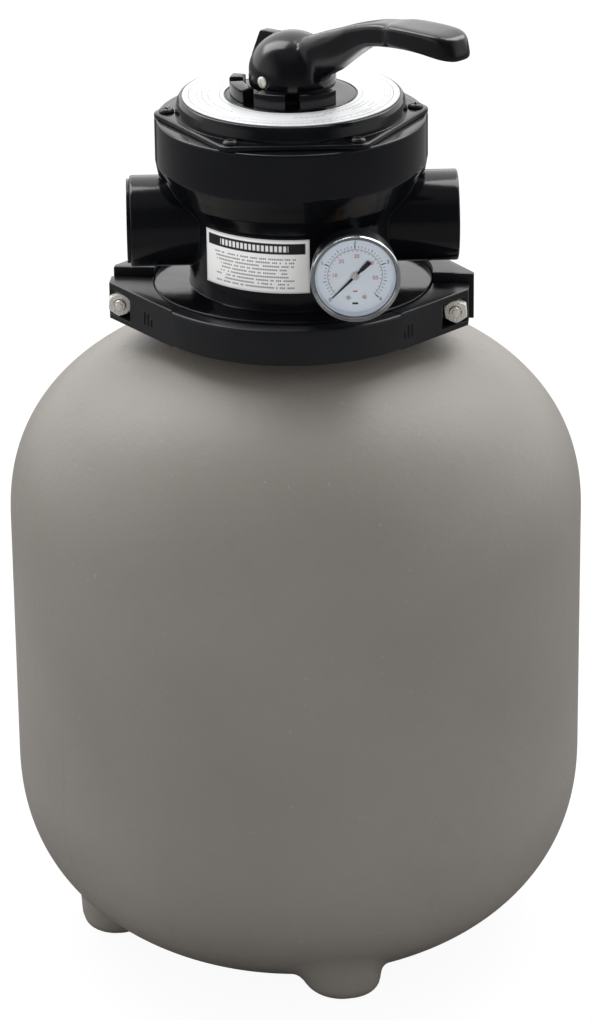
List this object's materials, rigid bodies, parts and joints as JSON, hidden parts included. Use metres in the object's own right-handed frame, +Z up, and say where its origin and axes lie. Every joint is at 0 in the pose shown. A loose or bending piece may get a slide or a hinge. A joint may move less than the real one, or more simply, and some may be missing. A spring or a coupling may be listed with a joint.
{
  "type": "sand filter tank",
  "caption": "Round pool sand filter tank on moulded feet, with a clamped top valve, lever handle, side ports and pressure gauge.",
  "frame": {"origin": "on the tank's vertical axis, at floor level", "axes": "+Z up the tank's axis; X through the two side ports; -Y is the front, with the gauge and the body label"},
  "size_m": [0.35, 0.35, 0.5986],
  "materials": {
    "tank_plastic": "warm grey moulded plastic with a fine orange-peel grain",
    "valve_plastic": "gloss black moulded plastic",
    "handle_plastic": "semi-gloss black moulded plastic",
    "clamp_plastic": "satin black moulded plastic",
    "stainless_steel": "stainless steel",
    "bezel_chrome": "polished bezel",
    "screw_black": "black-coated screws",
    "seal_rubber": "moulded seal rubber",
    "rotor_plastic": "moulded plastic",
    "label_white": "printed plastic film",
    "dial_white": "white dial with printed scale",
    "needle_black": "black pointer",
    "lens_clear": "clear lens",
    "gauge_brass": "brass",
    "pipe_plastic": "plain pipe plastic"
  },
  "bodies": {
    "root": {"tank_shell": "tank_plastic", "flange_oring": "seal_rubber", "clamp_front": "clamp_plastic", "clamp_back": "clamp_plastic", "clamp_bolt_left": "stainless_steel", "clamp_bolt_right": "stainless_steel", "clamp_nut_left": "stainless_steel", "clamp_nut_right": "stainless_steel", "valve_body": "valve_plastic", "body_label": "label_white", "spider_gasket": "seal_rubber", "cover_oring": "seal_rubber", "valve_cover": "valve_plastic", "label_disc": "label_white", "cover_screw_1": "screw_black", "cover_screw_2": "screw_black", "cover_screw_3": "screw_black", "cover_screw_4": "screw_black", "cover_screw_5": "screw_black", "cover_screw_6": "screw_black", "stem_oring_lower": "seal_rubber", "stem_oring_upper": "seal_rubber", "gauge_stem": "gauge_brass", "gauge_case": "screw_black", "gauge_bezel": "bezel_chrome", "gauge_lens": "lens_clear", "gauge_dial": "dial_white", "gauge_movement": "gauge_brass", "bourdon_tube": "gauge_brass", "standpipe": "pipe_plastic", "top_diffuser": "pipe_plastic", "lateral_hub": "pipe_plastic", "lateral_1": "pipe_plastic", "lateral_2": "pipe_plastic", "lateral_3": "pipe_plastic", "lateral_4": "pipe_plastic", "lateral_5": "pipe_plastic", "lateral_6": "pipe_plastic", "lateral_7": "pipe_plastic", "lateral_8": "pipe_plastic"},
    "turret": {"cam_washer": "rotor_plastic", "spring": "stainless_steel", "spring_washer_upper": "stainless_steel"},
    "rotor_stem": {"rotor": "rotor_plastic", "handle_pin": "stainless_steel", "spring_washer_lower": "stainless_steel"},
    "lever": {"handle": "handle_plastic"},
    "needle": {"gauge_needle": "needle_black"}
  },
  "joints": [
    {"name": "handle_turn", "type": "hinge", "parent": "root", "child": "turret", "pos_m": [0, 0, 0.5375], "axis": [0, 0, 1], "range_deg": [-135, 0]},
    {"name": "stem_lift", "type": "slide", "parent": "turret", "child": "rotor_stem", "axis": [0, 0, 1], "range_m": [0, 0.005], "deforming": ["spring"]},
    {"name": "handle_press", "type": "hinge", "parent": "rotor_stem", "child": "lever", "pos_m": [0, 0, 0.551], "axis": [0.7071, 0.7071, 0], "range_deg": [0, 20]},
    {"name": "needle_turn", "type": "hinge", "parent": "root", "child": "needle", "pos_m": [0.0337, -0.0905, 0.453], "axis": [0, 1, 0], "range_deg": [0, 270]}
  ],
  "couplings": [
    {"joint": "stem_lift", "follows": "handle_press", "m_per_rad": 0.01432}
  ]
}
